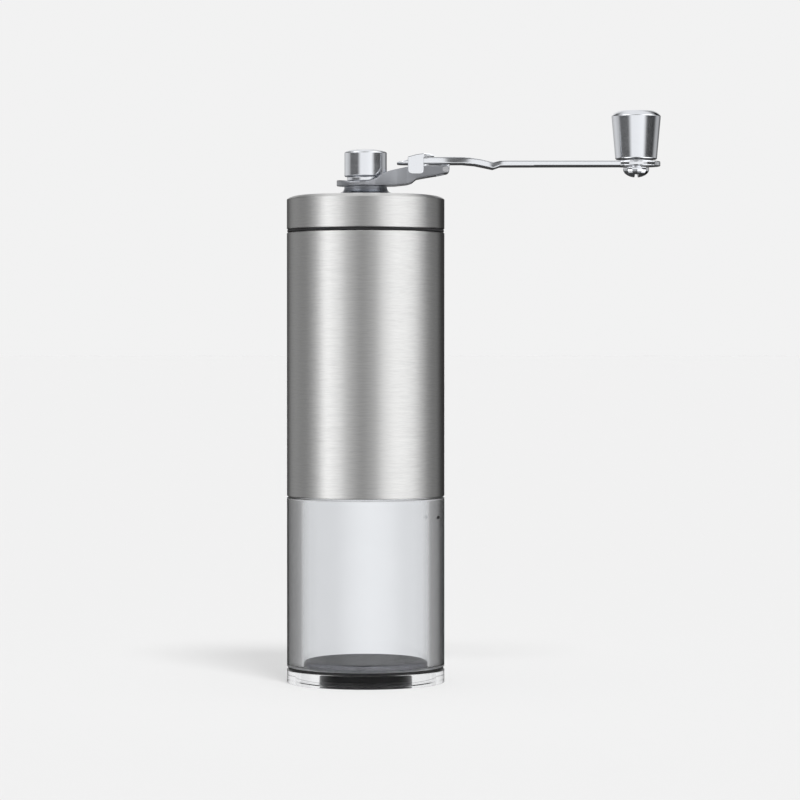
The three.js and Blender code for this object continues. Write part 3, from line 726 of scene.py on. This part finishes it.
# Material, roundness of the corners and number of steps round the axis.
TURNED = {
    "base_ring": (CLEAR, 0.3 * MM, 256),
    "grounds_cup": (CUP_CLEAR, 0.15 * MM, 256),
    "floor_plug": (GLOSS_BLACK, 0.1 * MM, 256),
    "base_gasket": (RUBBER, 0.1 * MM, 192),
    "cup_seal": (RUBBER, 0.1 * MM, 192),
    "foot_pad": (RUBBER, 0.1 * MM, 128),
    "outer_sleeve": (BRUSHED, 0.15 * MM, 256),
    "hopper_liner": (PLASTIC, 0.15 * MM, 192),
    "lid_shell": (BRUSHED_LID, 0.15 * MM, 256),
    "lid_plug": (PLASTIC, 0.2 * MM, 192),
    "lid_seal": (RUBBER, 0.15 * MM, 192),
    "hub_collar": (CHROME, 0.1 * MM, 128),
    "hub_washer": (CHROME, 0.2 * MM, 128),
    "knob_washer": (STEEL, 0.08 * MM, 96),
    "handle_knob": (CHROME, 0.2 * MM, 160),
    "knob_cap": (CHROME, 0.15 * MM, 128),
    "knob_bush": (BRASS, 0.15 * MM, 96),
    "lower_bush": (BRASS, 0.15 * MM, 96),
    "upper_bush": (BRASS, 0.15 * MM, 96),
    "spring_seat": (STEEL, 0.1 * MM, 96),
    "shaft_collar": (STEEL, 0.2 * MM, 96),
}

# These stay as they are but for their edges and material.
EDGED = {
    "burr_housing": PLASTIC, "lower_bridge": PLASTIC, "upper_bridge": PLASTIC, "burr_retainer": STEEL,
    "retainer_screw_1": STEEL, "retainer_screw_2": STEEL, "retainer_screw_3": STEEL, "burr_spring": STEEL,
}
EDGE_WIDTH = 0.12 * MM

# The polished pieces reflect the studio and not the crank close beside them.
UNREFLECTED = ("crank_arm", "arm_clip", "clip_rivet", "hinge_pin")

index_mark(math.radians(66.8), 52.7 * MM, half_width=1.3 * MM, half_height=0.55 * MM)

refined("drive_shaft", STEEL, 0.15 * MM, 96, shape=shaft_shape)
refined("adjuster_nut", PLASTIC, 0.25 * MM, 216, shape=scalloped(9, pitch=12.2 * MM, cutter=2.2 * MM))
refined("click_plate", STEEL, 0.06 * MM, 240, shape=scalloped(12, pitch=8.6 * MM, cutter=0.7 * MM))
refined("stack_ring", STEEL, 0.15 * MM, 192, side=-1, slit=3 * MM)
refined("hub_clip", STEEL, 0.08 * MM, 96, side=-1, slit=4 * MM)
refined("knob_clip", STEEL, 0.08 * MM, 64, side=-1, slit=1.6 * MM)

softened("crank_bracket", SATIN, 0.14 * MM, 8, drafted)
softened("crank_arm", CHROME_FLAT, 0.16 * MM, 6, tipped)
softened("arm_clip", CHROME_FLAT, 0.1 * MM, 8)
softened("knob_screw", CHROME, 0.1 * MM, 3)
softened("clip_rivet", CHROME_FLAT, 0.08 * MM, 3)
softened("hinge_pin", STEEL, 0.08 * MM, 2)
softened("burr_carrier", BRASS, 0.16 * MM, 3)
softened("inner_burr", BURR_STEEL, 0.2 * MM, 2)
softened("outer_burr", BURR_STEEL, 0.25 * MM, 2)

refined("hub_cap", CHROME, 0.2 * MM, 192, shape=cap_shape, outline=OUTLINES["hub_cap"])
for node, (material, bevel, steps) in TURNED.items():
    refined(node, material, bevel, steps, outline=OUTLINES.get(node))

for node in UNREFLECTED:
    bpy.data.objects[f"fine_{node}"].visible_glossy = False

for node, material in EDGED.items():
    piece = frame["nodes"][node]
    piece.data.materials.clear()
    piece.data.materials.append(material)
    edges = piece.modifiers.new("edges", "BEVEL")
    edges.width = EDGE_WIDTH
    edges.segments = 2
    edges.limit_method = "ANGLE"
    edges.angle_limit = GENTLE_TURN
    edges.harden_normals = True


# ---------------------------------------------------------------- floor, light and camera

FLOOR_HALF = 30.0
FLOOR_DROP = 0.02 * MM
FLOOR_SHADE = 0.784


def floor():
    """A plain pale floor just under the base, which gloss and clear pieces don't show."""
    signs = [(-1, -1), (1, -1), (1, 1), (-1, 1)]
    corners = [(x * FLOOR_HALF, y * FLOOR_HALF, -FLOOR_DROP) for x, y in signs]
    mesh = bpy.data.meshes.new("floor")
    mesh.from_pydata(corners, [], [(0, 1, 2, 3)])
    plane = bpy.data.objects.new("floor", mesh)
    bpy.context.scene.collection.objects.link(plane)
    material, nodes = shader("floor")
    speck = nodes.noise(nodes.place(), 60.0, 2.0, 0.5)
    color = nodes.ramp(speck, [(NOISE_LOW, FLOOR_SHADE), (NOISE_HIGH, FLOOR_SHADE * 1.001)], "LINEAR")
    close(nodes, {"Base Color": color, "Roughness": 1.0, "Specular IOR Level": 0.0})
    mesh.materials.append(material)
    plane.visible_glossy = False
    plane.visible_transmission = False


# How bright the studio is, by bearing in degrees: 0 is towards -Y, 90 towards +X.
# HORIZON lights what looks level, SURROUND what looks up or down, and THROUGH is seen through the acrylic.
HORIZON = [
    (-180, 0.3), (-160, 0.55), (-125, 0.72), (-104, 0.58), (-82, 0.12), (-46, 0.1), (-24, 1.0),
    (30, 1.06), (54, 0.06), (90, 0.05), (112, 0.45), (125, 0.5), (145, 0.16), (180, 0.3),
]
SURROUND = [
    (-180, 0.9), (-166, 0.8), (-150, 0.1), (-130, 0.05), (-105, 0.15), (-82, 1.05), (-62, 2.65),
    (-45, 1.95), (-25, 0.5), (-5, 0.05), (12, 0.35), (32, 1.4), (52, 2.3), (75, 2.15), (95, 1.35),
    (112, 0.3), (124, 0.0), (154, 0.0), (168, 0.7), (180, 0.9),
]
THROUGH = [
    (-180, 0.9), (-174, 0.76), (-150, 0.8), (-120, 0.9), (-60, 0.85), (0, 0.8),
    (60, 0.85), (120, 0.85), (150, 0.84), (172, 0.8), (180, 0.9),
]
OVERHEAD = 0.9
UNDERFOOT = 0.05
UNDER_BACK = 0.05
BACKDROP = 0.887

# A ramp holds levels from 0 to 1, so they are divided by this and multiplied again.
BRIGHTEST = 4.0

# Where one level goes over to the next, as the height of a direction of length 1.
HORIZON_TOP = (0.13, 0.21)
HORIZON_BOTTOM = (-0.3, -0.2)
OVERHEAD_START = (0.6, 0.85)
UNDERFOOT_END = (-0.9, -0.65)
LEVEL = (-0.012, 0.012)
BACK_START = (math.radians(145), math.radians(155))


def bearing_ramp(nodes, turn, stops):
    places = [((degrees + 180) / 360, level / BRIGHTEST) for degrees, level in stops]
    return nodes.math("MULTIPLY", nodes.ramp(turn, places), BRIGHTEST)


def studio():
    """A surround that lights the gloss, brighter or darker by direction; the camera sees it plain."""
    world = bpy.data.worlds.new("studio")
    bpy.context.scene.world = world
    world.use_nodes = True
    world.cycles_visibility.diffuse = False
    nodes = Nodes(world.node_tree)
    x, y, z = nodes.split(nodes.add("ShaderNodeTexCoord").outputs["Generated"])
    bearing = nodes.math("ARCTAN2", x, nodes.math("MULTIPLY", y, -1.0))
    turn = nodes.math("ADD", nodes.math("DIVIDE", bearing, 2 * math.pi), 0.5)
    horizon, surround, through = [bearing_ramp(nodes, turn, stops) for stops in (HORIZON, SURROUND, THROUGH)]
    above = nodes.ranged(z, *HORIZON_TOP, 0.0, 1.0)
    under = nodes.ranged(z, *HORIZON_BOTTOM, 1.0, 0.0)
    around = nodes.mix(nodes.math("MAXIMUM", above, under), horizon, surround)
    around = nodes.mix(nodes.ranged(z, *OVERHEAD_START, 0.0, 1.0), around, OVERHEAD)
    around = nodes.mix(nodes.ranged(z, *UNDERFOOT_END, 1.0, 0.0), around, UNDERFOOT)
    below = nodes.ranged(z, *LEVEL, 1.0, 0.0)
    behind = nodes.ranged(nodes.math("ABSOLUTE", bearing), *BACK_START, 0.0, 1.0)
    around = nodes.mix(nodes.math("MULTIPLY", below, behind), around, UNDER_BACK)
    path = nodes.add("ShaderNodeLightPath").outputs
    seen = nodes.mix(path["Is Transmission Ray"], around, through)
    level = nodes.mix(path["Is Camera Ray"], seen, BACKDROP)
    even = nodes.vector(level, level, level)
    background = nodes.add("ShaderNodeBackground", {"Color": even, "Strength": 1.0})
    nodes.add("ShaderNodeOutputWorld", {"Surface": background.outputs[0]})


def soft_sun(name, bearing, height, spread, level, shadow=True):
    """A broad soft light from one direction, for the floor and the matt pieces; gloss doesn't show it."""
    light = bpy.data.lights.new(name, "SUN")
    light.angle = math.radians(spread)
    light.energy = level
    light.use_shadow = shadow
    lamp = bpy.data.objects.new(name, light)
    lamp.rotation_euler = (math.radians(90 - height), 0, math.radians(bearing))
    lamp.visible_glossy = False
    lamp.visible_transmission = False
    bpy.context.scene.collection.objects.link(lamp)


CAMERA_PLACE = Vector((10.9 * MM, -1.012, 107 * MM))
CAMERA_TIP = math.radians(0.99)
LENS = 143.4


def camera():
    """A long lens about level with the sleeve's middle, a little to the crank's side, tipped down."""
    data = bpy.data.cameras.new("camera")
    data.lens = LENS
    data.clip_end = 100
    view = bpy.data.objects.new("camera", data)
    view.location = CAMERA_PLACE
    view.rotation_euler = (math.pi / 2 - CAMERA_TIP, 0, 0)
    bpy.context.scene.collection.objects.link(view)
    bpy.context.scene.camera = view


floor()
studio()
soft_sun("key_light", bearing=22, height=56, spread=16, level=0.95)
soft_sun("top_light", bearing=0, height=90, spread=120, level=0.36)
soft_sun("fill_light", bearing=0, height=90, spread=60, level=2.38, shadow=False)
camera()
bpy.context.scene.view_settings.view_transform = "Standard"

bpy.context.view_layer.update()
